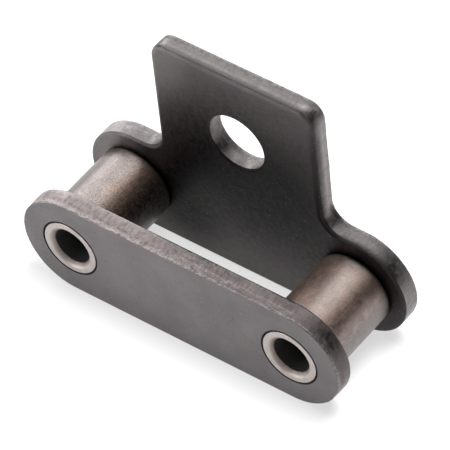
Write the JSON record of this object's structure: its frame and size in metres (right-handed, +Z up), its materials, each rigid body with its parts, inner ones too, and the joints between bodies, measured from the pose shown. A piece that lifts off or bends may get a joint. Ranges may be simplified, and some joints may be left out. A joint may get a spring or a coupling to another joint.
{
  "type": "chain attachment link",
  "caption": "Roller link of a double-pitch conveyor chain: straight-sided plates joined by bushings with free-turning rollers, one plate rising into a flat tab with a mounting hole.",
  "frame": {"origin": "on the ground plane under the link, midway between the bushings and midway between the plates", "axes": "+X along the chain, +Y along the pins towards the tab plate, +Z up along the tab"},
  "size_m": [0.0546, 0.019, 0.0385],
  "materials": {
    "front_plate_steel": "dark heat-treated steel, satin, with rubbed edges",
    "attachment_plate_steel": "dark heat-treated steel, satin, with rubbed edges",
    "bushing_steel": "bright ground ends",
    "roller_steel": "tumbled steel with a warm brown temper tint"
  },
  "bodies": {
    "link": {"front_plate": "front_plate_steel", "attachment_plate": "attachment_plate_steel", "bushing_left": "bushing_steel", "bushing_right": "bushing_steel"},
    "left_roller": {"roller_left": "roller_steel"},
    "right_roller": {"roller_right": "roller_steel"}
  },
  "joints": [
    {"name": "roller_left_spin", "type": "hinge", "parent": "link", "child": "left_roller", "pos_m": [-0.01905, 0, 0.0083], "axis": [0, 1, 0], "continuous": true},
    {"name": "roller_right_spin", "type": "hinge", "parent": "link", "child": "right_roller", "pos_m": [0.01905, 0, 0.0083], "axis": [0, 1, 0], "continuous": true}
  ]
}
